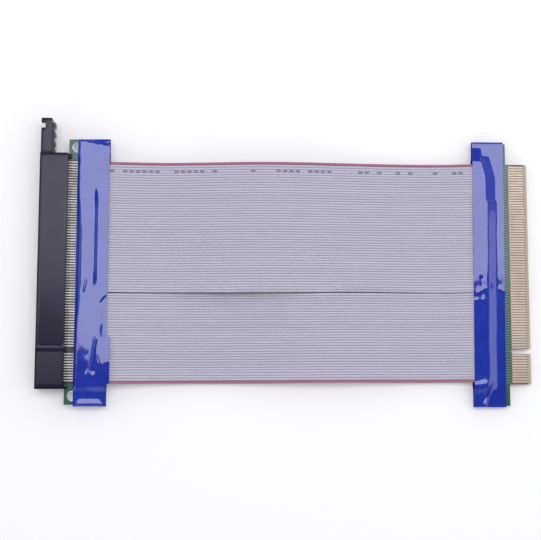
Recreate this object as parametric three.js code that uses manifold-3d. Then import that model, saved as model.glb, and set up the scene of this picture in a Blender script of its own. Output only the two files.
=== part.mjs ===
// A 16-lane graphics card riser cable: a card slot and a card-edge plug, joined by two layers of
// flat ribbon cable and wound with tape at both boards. It lies on a table, as in use on a bench.
// Millimetres, +Z up. +X runs from the slot to the plug, +Y runs to the end with the latch.
import * as THREE from 'three';
import { mergeVertices } from 'three/addons/utils/BufferGeometryUtils.js';
import Module from 'manifold-3d';

const wasm = await Module();
wasm.setup();

// Contact rows, the same in the slot and on the plug: a short and a long group, with the key between
const CONTACT_SPACING = 1.0;
const SHORT_CONTACTS = 11;
const LONG_CONTACTS = 71;
const KEY_STEP = 3.0; // between the two contacts beside the key
const CONTACT_SPAN = (SHORT_CONTACTS + LONG_CONTACTS - 2) * CONTACT_SPACING + KEY_STEP;
const KEY_Y = -CONTACT_SPAN / 2 + (SHORT_CONTACTS - 1) * CONTACT_SPACING + KEY_STEP / 2;

// Circuit boards
const BOARD_THICKNESS = 1.6;
const SOCKET_BOARD_LENGTH = 100.8; // along Y
const PLUG_BOARD_LENGTH = 101.4;
const SOCKET_BOARD_WIDTH = 14.0; // along X
const PLUG_BOARD_BODY = 11.6; // along X, as far as the shoulders of the tab
const HOLE_DIAMETER = 3.5;
const HOLE_FROM_END = 3.2;
const HOLE_FROM_EDGE = 3.2;

// Card-edge tab of the plug board, with its notch and gold fingers
const TAB_REACH = 8.3;
const TAB_END_MARGIN = 1.1; // from the outermost contact to the end of the tab
const TAB_CORNER = 0.6;
const NOTCH_WIDTH = 1.9;
const NOTCH_DEPTH = 7.6;
const BEVEL_LENGTH = 1.2;
const BEVEL_EDGE = 0.75; // what is left of the thickness at the tip
const FINGER_WIDTH = 0.7;
const FINGER_LENGTH = 6.0;
const FINGER_PROUD = 0.05;
const FINGER_FROM_SHOULDER = 1.0;
const TAB_LENGTH = CONTACT_SPAN + 2 * TAB_END_MARGIN;

// Slot housing
const HOUSING_THICKNESS = 7.5;
const HOUSING_END_MARGIN = 3.1; // from the outermost contact to the end of the housing
const SLOT_CLEARANCE = 0.15; // beside the tab, at its ends and in its notch
const SLOT_FACE_CLEARANCE = 0.1; // above and below the tab
const SLOT_END_GAP = 0.3; // past the tip of the tab
const SLOT_FLOOR = 1.9;
const SLOT_FLARE = 0.5; // lead-in of the mouth
const END_CHAMFER_LENGTH = 1.6;
const END_CHAMFER_DEPTH = 0.5;
const SINK_LENGTH = 8.2; // moulded recess beside the key, on both broad faces
const SINK_WIDTH = 0.9;
const SINK_DEPTH = 0.25;
const SINK_FROM_MOUTH = 1.5;
const HOUSING_DEPTH = TAB_REACH + SLOT_END_GAP + SLOT_FLOOR;
const HOUSING_LENGTH = CONTACT_SPAN + 2 * HOUSING_END_MARGIN;
const SLOT_HEIGHT = BOARD_THICKNESS + 2 * SLOT_FACE_CLEARANCE;

// Spring contacts in the slot, and their leads on the board
const SPRING_WIDTH = 0.5;
const SPRING_FROM_MOUTH = 1.6;
const SPRING_CREST = 3.0; // from the mouth to the bow's crest
const SPRING_BOW = 0.35;
const LEAD_WIDTH = 0.5;
const LEAD_THICKNESS = 0.25;
const LEAD_LENGTH = 2.7;
const ROOT = 0.2; // how far a fused piece reaches into its carrier

// Small pads of the housing that straddle the edge of the board
const STRADDLE_LENGTH = 1.3;
const STRADDLE_WIDTH = 1.7;
const STRADDLE_HEIGHT = 1.0;
const KEY_STRADDLE_LENGTH = 0.8;

// Latch at the end of the housing: a flexible tail with a hook, and a serrated grip behind it
const LATCH_REACH = 13.7;
const LATCH_DEPTH = 4.1;
const LATCH_THICKNESS = 5.4;
const HOOK_TIP = 1.8;
const HOOK_GAP = 2.0;
const HOOK_THROAT = 1.6;
const GRIP_THICKNESS = 3.4;
const GRIP_WEB = 0.6;
const GRIP_TOOTH = 1.1;
const GRIP_START = 2.95;
const GRIP_END = 12.1;
const TOOTH_WIDTH = 1.8;
const GRIP_TEETH = 3;

// Ribbon cable: two layers, each one wide and one narrow ribbon side by side
const WIRE_SPACING = 1.0;
const WIDE_WIRES = 50;
const NARROW_WIRES = 34;
const RIBBON_THICKNESS = 0.9;
const RIDGE_HEIGHT = 0.2;
const RIBBON_SLIT = 0.3; // between the wide and the narrow ribbon
const SOCKET_END_SHIFT = -0.5; // the ribbons lie a little askew: their middle at each board, along Y
const PLUG_END_SHIFT = 0.35;
const FREE_LENGTH = 139.6; // between the two tapes
const RIBBON_LAP = 6.0; // on each board
const LAYER_GAP = 0.5; // between the layers, away from the boards
const LAYER_CLEAR = 0.15; // under the lower layer, where the cable sags to the table
const RIBBON_SPAN = (WIDE_WIRES + NARROW_WIRES) * WIRE_SPACING + RIBBON_SLIT;

// Crests and dips of each ribbon: place along the free length, rise over the lowest sag
const WIDE_WAVE = [[0.15, 1.9], [0.43, 4.3], [0.86, 0]];
const NARROW_WAVE = [[0.27, 0.4], [0.6, 3.1], [0.92, 0]];

// Tape wound round each board and its ribbon ends
const TAPE_WIDTH = 12.2;
const TAPE_WALL = 0.3;
const TAPE_FIT = 0.05;
const TAPE_EASE = 0.6; // spare width round the ribbons' edges
const TAPE_EDGE_RUN = 1.8; // where the tape comes down to the board, along its edge by the contacts
const PLUG_TAPE_SKEW = 0.009; // the plug's tape is wound a little askew: shift along X per length along Y
const TAPE_SLOPE = 3.0; // run of the tape from the ribbon's edge down to the board
const TAPE_FROM_HOUSING = 3.4;
const SHOULDER_MARGIN = 1.2; // board between the plug tape and the shoulders

// Places along X, from the mating face of the slot
const SOCKET_BOARD_START = HOUSING_DEPTH;
const SOCKET_BOARD_END = SOCKET_BOARD_START + SOCKET_BOARD_WIDTH;
const SOCKET_TAPE_START = HOUSING_DEPTH + TAPE_FROM_HOUSING;
const SOCKET_TAPE_END = SOCKET_TAPE_START + TAPE_WIDTH;
const PLUG_TAPE_START = SOCKET_TAPE_END + FREE_LENGTH;
const PLUG_TAPE_END = PLUG_TAPE_START + TAPE_WIDTH;
const SHOULDER_X = PLUG_TAPE_END + SHOULDER_MARGIN;
const PLUG_BOARD_START = SHOULDER_X - PLUG_BOARD_BODY;
const TAB_TIP_X = SHOULDER_X + TAB_REACH;
const RIBBON_START = SOCKET_BOARD_END - RIBBON_LAP;
const RIBBON_END = PLUG_BOARD_START + RIBBON_LAP;

// Heights of the mid-planes: the housing and the plug tape rest on the table
const SOCKET_Z = HOUSING_THICKNESS / 2;
const PLUG_Z = TAPE_WALL + TAPE_FIT + RIBBON_THICKNESS + BOARD_THICKNESS / 2;
const SAG_Z = LAYER_CLEAR + RIBBON_THICKNESS + LAYER_GAP / 2;

const CUT = 1.0; // how far a cutter reaches past what it cuts

// Y of every contact: the short group below the key, the long group above it
function contactRows() {
  const rows = [];
  for (let i = SHORT_CONTACTS - 1; i >= 0; i -= 1) {
    rows.push(KEY_Y - KEY_STEP / 2 - i * CONTACT_SPACING);
  }
  for (let i = 0; i < LONG_CONTACTS; i += 1) {
    rows.push(KEY_Y + KEY_STEP / 2 + i * CONTACT_SPACING);
  }
  return rows;
}

// A block between two corners
function block(x0, x1, y0, y1, z0, z1) {
  const geometry = new THREE.BoxGeometry(x1 - x0, y1 - y0, z1 - z0);
  return geometry.translate((x0 + x1) / 2, (y0 + y1) / 2, (z0 + z1) / 2);
}

function outline(points) {
  return new THREE.Shape(points.map(([u, v]) => new THREE.Vector2(u, v)));
}

// A plan outline in XY, raised from z0 to z1
function plate(shape, z0, z1) {
  const geometry = new THREE.ExtrudeGeometry(shape, {
    depth: z1 - z0, bevelEnabled: false, curveSegments: 12,
  });
  return geometry.translate(0, 0, z0);
}

// A side profile in XZ, run from y0 to y1
function alongY(points, y0, y1) {
  const geometry = new THREE.ExtrudeGeometry(outline(points), { depth: y1 - y0, bevelEnabled: false });
  return geometry.rotateX(Math.PI / 2).translate(0, y1, 0);
}

// A cross-section in YZ, run through the given stations along X, each vertex then placed by place(x, y, z)
function alongX(section, stations, place) {
  const steps = stations.length - 1;
  const geometry = new THREE.ExtrudeGeometry(section, { depth: steps, steps, bevelEnabled: false });
  const position = geometry.getAttribute('position');
  for (let i = 0; i < position.count; i += 1) {
    const x = stations[Math.round(position.getZ(i))];
    const y = position.getX(i);
    const z = position.getY(i);
    position.setXYZ(i, ...place(x, y, z));
  }
  geometry.computeVertexNormals();
  return geometry;
}

function solidOf(geometry) {
  const bare = geometry.clone();
  bare.deleteAttribute('normal');
  bare.deleteAttribute('uv');
  const merged = mergeVertices(bare, 1e-4);
  return new wasm.Manifold(new wasm.Mesh({
    numProp: 3,
    vertProperties: new Float32Array(merged.getAttribute('position').array),
    triVerts: new Uint32Array(merged.index.array),
  }));
}

function geometryOf(solid) {
  const mesh = solid.getMesh();
  const geometry = new THREE.BufferGeometry();
  geometry.setAttribute('position', new THREE.BufferAttribute(mesh.vertProperties, 3));
  geometry.setIndex(new THREE.BufferAttribute(mesh.triVerts, 1));
  geometry.computeVertexNormals();
  return geometry;
}

function join(solid, geometries) {
  return geometries.reduce((sum, geometry) => sum.add(solidOf(geometry)), solid);
}

function cut(solid, geometries) {
  return geometries.reduce((rest, geometry) => rest.subtract(solidOf(geometry)), solid);
}

// Slot cavity with a flared mouth, cut on both sides of the key rib
function slotCutters() {
  const half = SLOT_HEIGHT / 2;
  const depth = HOUSING_DEPTH - SLOT_FLOOR;
  const profile = [
    [-CUT, -half - SLOT_FLARE - CUT],
    [SLOT_FLARE, -half],
    [depth, -half],
    [depth, half],
    [SLOT_FLARE, half],
    [-CUT, half + SLOT_FLARE + CUT],
  ].map(([x, z]) => [x, SOCKET_Z + z]);
  const slotEnd = TAB_LENGTH / 2 + SLOT_CLEARANCE;
  const rib = NOTCH_WIDTH / 2 - SLOT_CLEARANCE;
  return [
    alongY(profile, -slotEnd, KEY_Y - rib),
    alongY(profile, KEY_Y + rib, slotEnd),
  ];
}

// Chamfers on both broad faces at the end without the latch, and the moulded recess beside the key
function housingCutters() {
  const end = -HOUSING_LENGTH / 2;
  const sinkY = KEY_Y + KEY_STEP / 2;
  const cutters = [];
  for (const side of [-1, 1]) {
    const face = SOCKET_Z + side * HOUSING_THICKNESS / 2;
    const wedge = outline([
      [end + END_CHAMFER_LENGTH, face],
      [end, face - side * END_CHAMFER_DEPTH],
      [end - CUT, face - side * END_CHAMFER_DEPTH],
      [end - CUT, face + side * CUT],
      [end + END_CHAMFER_LENGTH, face + side * CUT],
    ]);
    cutters.push(alongX(wedge, [-CUT, HOUSING_DEPTH + CUT], (x, y, z) => [x, y, z]));
    const sinkBottom = face - side * SINK_DEPTH;
    const sinkTop = face + side * CUT;
    cutters.push(block(
      SINK_FROM_MOUTH, SINK_FROM_MOUTH + SINK_LENGTH,
      sinkY - SINK_WIDTH / 2, sinkY + SINK_WIDTH / 2,
      Math.min(sinkBottom, sinkTop), Math.max(sinkBottom, sinkTop),
    ));
  }
  return cutters;
}

// One spring contact in the slot and its lead on the board, on the upper (1) or lower (-1) side
function contact(y, side) {
  const wall = SOCKET_Z + side * SLOT_HEIGHT / 2;
  const spring = alongY([
    [HOUSING_DEPTH - SLOT_FLOOR + ROOT, wall + side * ROOT],
    [SPRING_FROM_MOUTH, wall + side * ROOT],
    [SPRING_FROM_MOUTH, wall],
    [SPRING_CREST, wall - side * SPRING_BOW],
    [HOUSING_DEPTH - SLOT_FLOOR + ROOT, wall],
  ], y - SPRING_WIDTH / 2, y + SPRING_WIDTH / 2);
  const seat = SOCKET_Z + side * BOARD_THICKNESS / 2;
  const back = seat + side * LEAD_THICKNESS;
  const lead = block(
    HOUSING_DEPTH - ROOT, HOUSING_DEPTH + LEAD_LENGTH,
    y - LEAD_WIDTH / 2, y + LEAD_WIDTH / 2,
    Math.min(seat, back), Math.max(seat, back),
  );
  return [spring, lead];
}

// Pads that grip the board's edge at both ends and at the key, on both faces
function straddlePads() {
  const endY = HOUSING_LENGTH / 2 - STRADDLE_WIDTH / 2;
  const places = [
    [-endY, STRADDLE_LENGTH],
    [KEY_Y, KEY_STRADDLE_LENGTH],
    [endY, STRADDLE_LENGTH],
  ];
  const pads = [];
  for (const [y, length] of places) {
    for (const side of [-1, 1]) {
      const seat = SOCKET_Z + side * BOARD_THICKNESS / 2;
      const back = seat + side * STRADDLE_HEIGHT;
      pads.push(block(
        HOUSING_DEPTH - ROOT, HOUSING_DEPTH + length,
        y - STRADDLE_WIDTH / 2, y + STRADDLE_WIDTH / 2,
        Math.min(seat, back), Math.max(seat, back),
      ));
    }
  }
  return pads;
}

// Latch tail with its hook on the mating side, and the thinner serrated grip behind it
function latch() {
  const foot = HOUSING_LENGTH / 2;
  const tip = foot + LATCH_REACH;
  const tail = outline([
    [0, foot - ROOT],
    [LATCH_DEPTH, foot - ROOT],
    [LATCH_DEPTH, tip],
    [0, tip],
    [0, tip - HOOK_TIP],
    [HOOK_THROAT, tip - HOOK_TIP],
    [HOOK_THROAT, tip - HOOK_TIP - HOOK_GAP],
    [0, tip - HOOK_TIP - HOOK_GAP],
  ]);
  const gripLow = SOCKET_Z - GRIP_THICKNESS / 2;
  const gripHigh = SOCKET_Z + GRIP_THICKNESS / 2;
  const pieces = [
    plate(tail, SOCKET_Z - LATCH_THICKNESS / 2, SOCKET_Z + LATCH_THICKNESS / 2),
    block(LATCH_DEPTH - ROOT, LATCH_DEPTH + GRIP_WEB, foot + GRIP_START, foot + GRIP_END, gripLow, gripHigh),
    block(LATCH_DEPTH - ROOT, LATCH_DEPTH + GRIP_TOOTH, foot - ROOT, foot + TOOTH_WIDTH, gripLow, gripHigh),
  ];
  const toothStep = (GRIP_END - GRIP_START - TOOTH_WIDTH) / (GRIP_TEETH - 1);
  for (let i = 0; i < GRIP_TEETH; i += 1) {
    const y = foot + GRIP_START + i * toothStep;
    pieces.push(block(LATCH_DEPTH - ROOT, LATCH_DEPTH + GRIP_TOOTH, y, y + TOOTH_WIDTH, gripLow, gripHigh));
  }
  return pieces;
}

function slotHousing() {
  const half = HOUSING_LENGTH / 2;
  const body = solidOf(block(0, HOUSING_DEPTH, -half, half, 0, HOUSING_THICKNESS));
  const shell = cut(body, [...slotCutters(), ...housingCutters()]);
  const contacts = contactRows().flatMap((y) => [...contact(y, 1), ...contact(y, -1)]);
  return geometryOf(join(shell, [...straddlePads(), ...latch(), ...contacts]));
}

function socketBoard() {
  const half = SOCKET_BOARD_LENGTH / 2;
  const board = outline([
    [SOCKET_BOARD_START, -half],
    [SOCKET_BOARD_END, -half],
    [SOCKET_BOARD_END, half],
    [SOCKET_BOARD_START, half],
  ]);
  for (const end of [-1, 1]) {
    const hole = new THREE.Path();
    const holeX = SOCKET_BOARD_START + HOLE_FROM_EDGE;
    const holeY = end * (half - HOLE_FROM_END);
    hole.absarc(holeX, holeY, HOLE_DIAMETER / 2, 0, 2 * Math.PI, true);
    board.holes.push(hole);
  }
  return plate(board, SOCKET_Z - BOARD_THICKNESS / 2, SOCKET_Z + BOARD_THICKNESS / 2);
}

// Plan of the plug board: shoulders, the tab with clipped corners, and the round-ended notch
function plugOutline() {
  const half = PLUG_BOARD_LENGTH / 2;
  const tab = TAB_LENGTH / 2;
  const notch = NOTCH_WIDTH / 2;
  const shape = new THREE.Shape();
  shape.moveTo(PLUG_BOARD_START, -half);
  shape.lineTo(SHOULDER_X, -half);
  shape.lineTo(SHOULDER_X, -tab);
  shape.lineTo(TAB_TIP_X - TAB_CORNER, -tab);
  shape.lineTo(TAB_TIP_X, -tab + TAB_CORNER);
  shape.lineTo(TAB_TIP_X, KEY_Y - notch);
  shape.lineTo(TAB_TIP_X - NOTCH_DEPTH + notch, KEY_Y - notch);
  shape.absarc(TAB_TIP_X - NOTCH_DEPTH + notch, KEY_Y, notch, 1.5 * Math.PI, 0.5 * Math.PI, true);
  shape.lineTo(TAB_TIP_X, KEY_Y + notch);
  shape.lineTo(TAB_TIP_X, tab - TAB_CORNER);
  shape.lineTo(TAB_TIP_X - TAB_CORNER, tab);
  shape.lineTo(SHOULDER_X, tab);
  shape.lineTo(SHOULDER_X, half);
  shape.lineTo(PLUG_BOARD_START, half);
  shape.closePath();
  return shape;
}

function plugBoard() {
  const half = BOARD_THICKNESS / 2;
  const tip = BEVEL_EDGE / 2;
  const board = solidOf(plate(plugOutline(), PLUG_Z - half, PLUG_Z + half));
  const bevelled = alongY([
    [PLUG_BOARD_START - CUT, PLUG_Z - half],
    [TAB_TIP_X - BEVEL_LENGTH, PLUG_Z - half],
    [TAB_TIP_X, PLUG_Z - tip],
    [TAB_TIP_X, PLUG_Z + tip],
    [TAB_TIP_X - BEVEL_LENGTH, PLUG_Z + half],
    [PLUG_BOARD_START - CUT, PLUG_Z + half],
  ], -PLUG_BOARD_LENGTH, PLUG_BOARD_LENGTH);
  const fingerStart = SHOULDER_X + FINGER_FROM_SHOULDER;
  const fingers = contactRows().flatMap((y) => [-1, 1].map((side) => {
    const root = PLUG_Z + side * (half - ROOT);
    const face = PLUG_Z + side * (half + FINGER_PROUD);
    return block(
      fingerStart, fingerStart + FINGER_LENGTH,
      y - FINGER_WIDTH / 2, y + FINGER_WIDTH / 2,
      Math.min(root, face), Math.max(root, face),
    );
  }));
  return geometryOf(join(board.intersect(solidOf(bevelled)), fingers));
}

// Wave of one ribbon pair: its mid-height at any place, level under the tapes
function waveHeight(wave, x) {
  const points = [
    [SOCKET_TAPE_END, SOCKET_Z],
    ...wave.map(([share, rise]) => [SOCKET_TAPE_END + share * FREE_LENGTH, SAG_Z + rise]),
    [PLUG_TAPE_START, PLUG_Z],
  ];
  if (x <= points[0][0]) return SOCKET_Z;
  for (let i = 1; i < points.length; i += 1) {
    const [x0, z0] = points[i - 1];
    const [x1, z1] = points[i];
    if (x <= x1) return z0 + (z1 - z0) * THREE.MathUtils.smoothstep(x, x0, x1);
  }
  return PLUG_Z;
}

// Stations along a ribbon: its ends, the tapes' edges, the crests and dips, and the middles between them
function waveStations(wave) {
  const turns = [SOCKET_TAPE_END, ...wave.map(([share]) => SOCKET_TAPE_END + share * FREE_LENGTH)];
  const stations = [RIBBON_START];
  turns.forEach((x, i) => {
    stations.push(x);
    if (i > 0) stations.push((x + (turns[i + 1] ?? PLUG_TAPE_START)) / 2);
  });
  return [...stations, PLUG_TAPE_START, RIBBON_END];
}

// How far the ribbons' middle lies off the boards' middle, along Y
function sideShift(x) {
  const share = THREE.MathUtils.clamp((x - SOCKET_TAPE_END) / FREE_LENGTH, 0, 1);
  return THREE.MathUtils.lerp(SOCKET_END_SHIFT, PLUG_END_SHIFT, share);
}

// Half the space between the two layers: a board's half thickness at the tapes, less between them
function layerHalfGap(x) {
  const atTape = x <= SOCKET_TAPE_END || x >= PLUG_TAPE_START;
  return (atTape ? BOARD_THICKNESS : LAYER_GAP) / 2;
}

// One ribbon: flat inside, with one ridge for each wire outside, in the upper (1) or lower (-1) layer
function ribbon(wires, topY, side, wave) {
  const points = [[topY, 0]];
  for (let i = 0; i < wires; i += 1) {
    const edge = topY - i * WIRE_SPACING;
    points.push([edge, RIBBON_THICKNESS - RIDGE_HEIGHT]);
    points.push([edge - WIRE_SPACING / 2, RIBBON_THICKNESS]);
  }
  const bottomY = topY - wires * WIRE_SPACING;
  points.push([bottomY, RIBBON_THICKNESS - RIDGE_HEIGHT], [bottomY, 0]);
  const section = outline(points.map(([y, z]) => [y, side * z]));
  return alongX(section, waveStations(wave), (x, y, z) => [
    x,
    y + sideShift(x),
    waveHeight(wave, x) + side * layerHalfGap(x) + z,
  ]);
}

// Loop of tape round a board, over the ribbon on the middle stretch and down to the board beyond it
function tapeLoop(boardLength, offset) {
  const edge = boardLength / 2 + offset;
  const crest = RIBBON_SPAN / 2 + TAPE_EASE;
  const foot = crest + TAPE_SLOPE;
  const low = BOARD_THICKNESS / 2 + offset;
  const high = low + RIBBON_THICKNESS;
  return [
    [-edge, -low], [-foot, -low], [-crest, -high], [crest, -high], [foot, -low], [edge, -low],
    [edge, low], [foot, low], [crest, high], [-crest, high], [-foot, low], [-edge, low],
  ];
}

// A wound tape, full height over the ribbons and down on the board at its edge by the contacts
function tape(stations, ribbonShare, boardLength, boardZ, skew) {
  const loop = outline(tapeLoop(boardLength, TAPE_FIT + TAPE_WALL));
  const inside = tapeLoop(boardLength, TAPE_FIT).map(([u, v]) => new THREE.Vector2(u, v));
  loop.holes.push(new THREE.Path(inside));
  const onRibbon = RIBBON_SPAN / 2 + TAPE_EASE + TAPE_SLOPE / 2;
  return alongX(loop, stations, (x, y, z) => {
    const drop = Math.abs(y) < onRibbon ? RIBBON_THICKNESS * (1 - ribbonShare(x)) : 0;
    return [x + skew * y, y, boardZ + Math.sign(z) * (Math.abs(z) - drop)];
  });
}

function socketTape() {
  const full = SOCKET_TAPE_START + TAPE_EDGE_RUN;
  const share = (x) => (x < full ? 0 : 1);
  return tape([SOCKET_TAPE_START, full, SOCKET_TAPE_END], share, SOCKET_BOARD_LENGTH, SOCKET_Z, 0);
}

function plugTape() {
  const full = PLUG_TAPE_END - TAPE_EDGE_RUN;
  const share = (x) => (x > full ? 0 : 1);
  return tape([PLUG_TAPE_START, full, PLUG_TAPE_END], share, PLUG_BOARD_LENGTH, PLUG_Z, PLUG_TAPE_SKEW);
}

const blackPlastic = { color: 0x3a3944, roughness: 0.45, metalness: 0.0 };
const greenBoard = { color: 0x2f7a5c, roughness: 0.35, metalness: 0.0 };
const greyRibbon = { color: 0xb0aebe, roughness: 0.5, metalness: 0.0 };
const blueTape = { color: 0x1c2f9a, roughness: 0.15, metalness: 0.0 };

const riser = new THREE.Group();

function addPiece(name, geometry, finish) {
  const mesh = new THREE.Mesh(geometry, new THREE.MeshStandardMaterial(finish));
  mesh.name = name;
  riser.add(mesh);
}

addPiece('slot_housing', slotHousing(), blackPlastic);
addPiece('socket_board', socketBoard(), greenBoard);
addPiece('plug_board', plugBoard(), greenBoard);

const wideTop = RIBBON_SPAN / 2;
const narrowTop = wideTop - WIDE_WIRES * WIRE_SPACING - RIBBON_SLIT;
addPiece('ribbon_wide_upper', ribbon(WIDE_WIRES, wideTop, 1, WIDE_WAVE), greyRibbon);
addPiece('ribbon_wide_lower', ribbon(WIDE_WIRES, wideTop, -1, WIDE_WAVE), greyRibbon);
addPiece('ribbon_narrow_upper', ribbon(NARROW_WIRES, narrowTop, 1, NARROW_WAVE), greyRibbon);
addPiece('ribbon_narrow_lower', ribbon(NARROW_WIRES, narrowTop, -1, NARROW_WAVE), greyRibbon);

addPiece('socket_tape', socketTape(), blueTape);
addPiece('plug_tape', plugTape(), blueTape);

// The origin is on the table, below the middle of the whole cable
const southEnd = -Math.max(SOCKET_BOARD_LENGTH, PLUG_BOARD_LENGTH) / 2 - TAPE_FIT - TAPE_WALL;
const northEnd = HOUSING_LENGTH / 2 + LATCH_REACH;
riser.position.set(-TAB_TIP_X / 2, -(southEnd + northEnd) / 2, 0);

export default riser;
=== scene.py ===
import math

import bmesh
import bpy
from mathutils import Matrix, Vector, noise


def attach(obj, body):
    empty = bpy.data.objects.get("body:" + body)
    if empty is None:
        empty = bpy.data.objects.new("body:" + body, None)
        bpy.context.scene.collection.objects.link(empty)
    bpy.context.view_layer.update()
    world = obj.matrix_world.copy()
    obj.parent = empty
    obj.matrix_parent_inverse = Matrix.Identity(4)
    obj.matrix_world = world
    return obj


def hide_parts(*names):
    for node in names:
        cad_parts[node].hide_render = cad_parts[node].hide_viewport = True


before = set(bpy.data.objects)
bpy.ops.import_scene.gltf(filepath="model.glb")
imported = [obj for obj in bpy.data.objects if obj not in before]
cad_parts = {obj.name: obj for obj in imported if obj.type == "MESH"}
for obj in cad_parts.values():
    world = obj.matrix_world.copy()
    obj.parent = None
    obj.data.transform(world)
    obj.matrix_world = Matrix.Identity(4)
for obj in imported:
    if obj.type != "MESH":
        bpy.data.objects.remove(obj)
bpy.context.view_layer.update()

# Modelled in millimetres: x from the slot's mouth, y from the middle of the contact rows, z from the table
MM = 0.001
WHOLE_LENGTH = 187.4
ROWS_ABOVE_MIDDLE = 3.625

# Contact rows
CONTACT_SPACING = 1.0
SHORT_CONTACTS = 11
LONG_CONTACTS = 71
KEY_STEP = 3.0
KEY_Y = -30.0
FIRST_SHORT = KEY_Y - KEY_STEP / 2
FIRST_LONG = KEY_Y + KEY_STEP / 2

# Slot housing
HOUSING_DEPTH = 10.5
HOUSING_HALF = 44.6
HOUSING_HEIGHT = 7.5
SLOT_HALF = 42.75
SLOT_RIB = 0.8
SLOT_HEIGHT = 1.8
SLOT_DEPTH = 8.6
SLOT_FLARE = 0.5
END_CHAMFER = 1.6
END_DROP = 0.2
SINK_X = (1.5, 9.7)
SINK_WIDTH = 0.9
SINK_DEPTH = 0.25
KEY_PAD_WIDTH = 1.5
KEY_PAD_RISE = 0.06
STRADDLE_LENGTH = 1.3
KEY_STRADDLE_LENGTH = 0.8
STRADDLE_WIDTH = 1.7
STRADDLE_HEIGHT = 1.0
STRADDLE_SLOPE = 0.35

# Leads, solder pads and springs, with x from the back of the housing except for the springs
LEAD_X = (-0.3, 2.2)
LEAD_HALF = 0.17
LEAD_BENDS = (0.35, 0.95)
LEAD_LIFT = (0.42, 0.64)
LEAD_DROP = 0.36
PAD_X = (1.1, 4.4)
PAD_HALF = 0.27
PAD_MOUND = (1.6, 2.9)
PAD_SINK = 0.02
PAD_HEIGHT = 0.07
PAD_RISE = 0.1
SPRING_START = 1.7
SPRING_HALF = 0.25
SPRING_SINK = 0.02
SPRING_THICKNESS = 0.16
SPRING_BENDS = (2.3, 3.0, 3.8, 5.5)
SPRING_ARCH = 0.24
SPRING_SHOULDER = 0.16

# Latch at the housing's north end
LATCH_REACH = 13.7
LATCH_DEPTH = 4.1
LATCH_THICKNESS = 5.4
HOOK_TIP = 1.8
HOOK_GAP = 2.0
HOOK_THROAT = 1.6
HOOK_UNDERSIDE = 4.4
GRIP_THICKNESS = 3.4
GRIP_WEB = 0.6
GRIP_TOOTH = 1.1
GRIP_TEETH = [(0.0, 1.8), (2.95, 4.75), (6.63, 8.43), (10.3, 12.1)]

# Boards
BOARD = 1.6
SOCKET_Z = 3.75
PLUG_Z = 2.05
SOCKET_BOARD_X = (10.5, 24.5)
SOCKET_BOARD_HALF = 50.4
PLUG_BOARD_X = (167.5, 179.1)
PLUG_BOARD_HALF = 50.7
TAB_TIP = 187.4
TAB_HALF = 42.6
TAB_CORNER = 0.6
TAB_BEVEL = 1.2
TAB_EDGE = 0.75
NOTCH_WIDTH = 1.9
NOTCH_DEPTH = 7.6
HOLE_RADIUS = 1.75
HOLE_FROM_END = 3.2
RING_WIDTH = 0.25
FINGER_X = (180.1, 186.1)
FINGER_WIDTH = 0.7
FINGER_PROUD = 0.05
MASK_FROM_FINGER = 0.25

# Ribbons
WIDE_WIRES = 50
NARROW_WIRES = 34
WIRE_SPACING = 1.0
WIRE_RADIUS = 0.45
WEB_HALF = 0.21
WIRE_FACETS = 6
RIBBON_STEPS = 72
RIBBON_SLIT = 0.3
RIBBON_TOP = 42.15
SLIT_Y = RIBBON_TOP - WIDE_WIRES * WIRE_SPACING - RIBBON_SLIT / 2
SLIT_CLOSED_X = 71.0
SLIT_REACH = 4.0
EDGE_HALF = 0.12
SETTLE_RUN = 12
SIDE_WANDER = 0.16
HEIGHT_WANDER = 0.22
PRINT_WIRE = 46.5
RIBBON_X = (18.5, 170.0)
SOCKET_SHIFT = -0.5
PLUG_SHIFT = 0.35
SAG_Z = 1.3
LAYER_GAP = 0.5
WIDE_WAVE = [(0.15, 1.9), (0.43, 4.3), (0.86, 0.0)]
NARROW_WAVE = [(0.27, 0.4), (0.6, 3.1), (0.92, 0.0)]

# Tapes
SOCKET_TAPE_X = (13.9, 26.1)
PLUG_TAPE_X = (165.7, 177.9)
TAPE_FILM = 0.1
TAPE_LEVEL = 0.93
UNDER_LEVEL = 0.9
LAP_RUN = 40
SOCKET_SEAM = -25.2
SOCKET_DRIFT = 1.3
PLUG_DRIFT = 0.15
TAPE_CORNER = 0.35
SOCKET_OVERLAP = 17.0
PLUG_OVERLAP = 9.0
TAPE_FIT = 0.12
SOCKET_SLACK = (0.0, 0.45)
PLUG_SLACK = (0.6, 0.4)
PLUG_SEAM = 28.0
TAPE_LONG = 420
TAPE_WIDE = 56
PLUG_TAPE_SKEW = 0.009
FREE_START = SOCKET_TAPE_X[1]
FREE_END = PLUG_TAPE_X[0]

# Light
WALL_LIGHT = 1.0
CEILING_LIGHT = 0.08
WALL_TOP = 0.55
CEILING_EDGE = 0.85
FLOOR_LIFT = 0.15
LAMP_HEIGHT = 0.8

# Camera, fitted to the photo
CAMERA_LENS = 69.59
CAMERA_PLACE = (-0.02181, -0.04611, 0.39986)
CAMERA_TURN = (6.204, -2.285, 0.107)


# Modelling helpers

def block(name, low, high):
    bpy.ops.object.select_all(action="DESELECT")
    low, high = Vector(low), Vector(high)
    bpy.ops.mesh.primitive_cube_add(size=1, location=(low + high) / 2, scale=high - low)
    return ready(name)


def ready(name):
    piece = bpy.context.object
    piece.name = name
    bpy.ops.object.transform_apply(location=True, rotation=True, scale=True)
    return piece


def cylinder(name, centre, radius, depth, sides):
    bpy.ops.object.select_all(action="DESELECT")
    bpy.ops.mesh.primitive_cylinder_add(vertices=sides, radius=radius, depth=depth, location=centre)
    return ready(name)


def middle(item):
    if isinstance(item, bmesh.types.BMVert):
        return item.co
    if isinstance(item, bmesh.types.BMFace):
        return item.calc_center_median()
    return (item.verts[0].co + item.verts[1].co) / 2


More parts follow.
